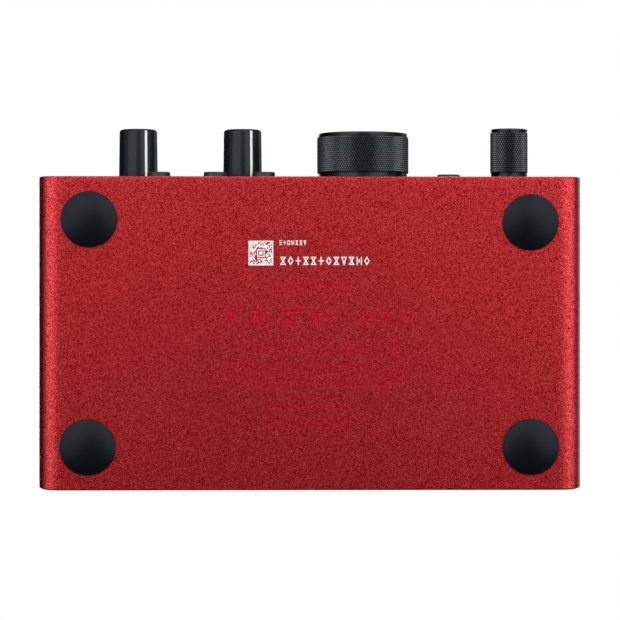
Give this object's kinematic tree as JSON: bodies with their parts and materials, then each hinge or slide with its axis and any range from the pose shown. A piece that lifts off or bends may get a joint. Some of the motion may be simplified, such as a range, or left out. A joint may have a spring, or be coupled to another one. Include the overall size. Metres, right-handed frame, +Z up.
{
  "type": "audio interface",
  "caption": "Desktop audio interface in a red aluminium sleeve with a leaning rear, domed rubber feet, turning knobs, push buttons, and jack, microphone and data sockets.",
  "frame": {"origin": "middle of the whole outline, on the surface that the feet stand on", "axes": "+Z up, the front with its knobs faces -Y, +X to the right as seen from the front"},
  "size_m": [0.18, 0.1212, 0.0475],
  "materials": {
    "case_red": "bead blasted and anodised red",
    "front_black": "fine matt",
    "rear_black": "powder coated",
    "screw_black": "blackened",
    "tray_steel": "zinc plated",
    "screw_steel": "zinc plated",
    "foot_rubber": "satin moulded",
    "adhesive_white": "foam tape",
    "board_green": "solder mask",
    "standoff_brass": "turned",
    "halo_smoke": "smoked light guide",
    "pot_steel": "nickel plated",
    "gain_gloss": "moulded, satin gloss",
    "pointer_white": "moulded insert",
    "knurl_black": "knurled and anodised black",
    "button_black": "satin",
    "switch_black": "moulded",
    "light_clear": "clear light pipe",
    "jack_black": "moulded",
    "nut_nickel": "black nickel",
    "xlr_black": "moulded",
    "contact_gold": "gold flashed",
    "usb_steel": "nickel plated",
    "chip_black": "moulded",
    "capacitor_sleeve": "sleeved can",
    "ribbon_grey": "flat cable"
  },
  "bodies": {
    "root": {"case_sleeve": "case_red", "front_panel": "front_black", "rear_panel": "rear_black", "rear_screws": "screw_black", "base_tray": "tray_steel", "tray_screws": "screw_steel", "foot_front_left": "foot_rubber", "foot_front_right": "foot_rubber", "foot_rear_left": "foot_rubber", "foot_rear_right": "foot_rubber", "foot_adhesives": "adhesive_white", "main_board": "board_green", "board_standoffs": "standoff_brass", "board_screws": "screw_steel", "front_board": "board_green", "rear_board": "board_green", "gain_halo_1": "halo_smoke", "gain_halo_2": "halo_smoke", "output_halo": "halo_smoke", "gain_pot_1": "pot_steel", "gain_pot_2": "pot_steel", "output_pot": "pot_steel", "headphone_pot": "pot_steel", "pot_nuts": "pot_steel", "button_switches": "switch_black", "status_lights": "light_clear", "input_jack_1": "jack_black", "input_jack_2": "jack_black", "headphone_jack": "jack_black", "line_jack_left": "jack_black", "line_jack_right": "jack_black", "jack_nuts": "nut_nickel", "xlr_shell_1": "xlr_black", "xlr_shell_2": "xlr_black", "xlr_insert_1": "xlr_black", "xlr_insert_2": "xlr_black", "xlr_contacts": "contact_gold", "usb_sockets": "usb_steel", "usb_board": "board_green", "main_chips": "chip_black", "capacitors": "capacitor_sleeve", "preamp_shield": "tray_steel", "ribbon_cables": "ribbon_grey"},
    "gain_control_1": {"gain_knob_1": "gain_gloss", "gain_pointer_1": "pointer_white", "gain_shaft_1": "pot_steel"},
    "gain_control_2": {"gain_knob_2": "gain_gloss", "gain_pointer_2": "pointer_white", "gain_shaft_2": "pot_steel"},
    "output_control": {"output_knob": "knurl_black", "output_shaft": "pot_steel"},
    "headphone_control": {"headphone_knob": "knurl_black", "headphone_shaft": "pot_steel"},
    "select_key": {"select_button": "button_black"},
    "phantom_key": {"phantom_button": "button_black"},
    "instrument_key": {"instrument_button": "button_black"},
    "auto_key": {"auto_button": "button_black"},
    "safe_key": {"safe_button": "button_black"},
    "air_key": {"air_button": "button_black"},
    "direct_key": {"direct_button": "button_black"}
  },
  "joints": [
    {"name": "gain_turn_1", "type": "hinge", "parent": "root", "child": "gain_control_1", "pos_m": [-0.0576, -0.04282, 0.025], "axis": [0, 1, 0], "range_deg": [-310, 0]},
    {"name": "gain_turn_2", "type": "hinge", "parent": "root", "child": "gain_control_2", "pos_m": [-0.02245, -0.04282, 0.025], "axis": [0, 1, 0], "range_deg": [-308.4, 1.6]},
    {"name": "output_turn", "type": "hinge", "parent": "root", "child": "output_control", "pos_m": [0.0182, -0.04282, 0.025], "axis": [0, 1, 0], "range_deg": [-270, 0]},
    {"name": "headphone_turn", "type": "hinge", "parent": "root", "child": "headphone_control", "pos_m": [0.0685, -0.04282, 0.033], "axis": [0, 1, 0], "range_deg": [-280, 0]},
    {"name": "select_press", "type": "slide", "parent": "root", "child": "select_key", "axis": [0, 1, 0], "range_m": [0, 0.0005], "stiffness_N_per_m": 2000},
    {"name": "phantom_press", "type": "slide", "parent": "root", "child": "phantom_key", "axis": [0, 1, 0], "range_m": [0, 0.0005], "stiffness_N_per_m": 2000},
    {"name": "instrument_press", "type": "slide", "parent": "root", "child": "instrument_key", "axis": [0, 1, 0], "range_m": [0, 0.0005], "stiffness_N_per_m": 2000},
    {"name": "auto_press", "type": "slide", "parent": "root", "child": "auto_key", "axis": [0, 1, 0], "range_m": [0, 0.0005], "stiffness_N_per_m": 2000},
    {"name": "safe_press", "type": "slide", "parent": "root", "child": "safe_key", "axis": [0, 1, 0], "range_m": [0, 0.0005], "stiffness_N_per_m": 2000},
    {"name": "air_press", "type": "slide", "parent": "root", "child": "air_key", "axis": [0, 1, 0], "range_m": [0, 0.0005], "stiffness_N_per_m": 2000},
    {"name": "direct_press", "type": "slide", "parent": "root", "child": "direct_key", "axis": [0, 1, 0], "range_m": [0, 0.0005], "stiffness_N_per_m": 2000}
  ]
}
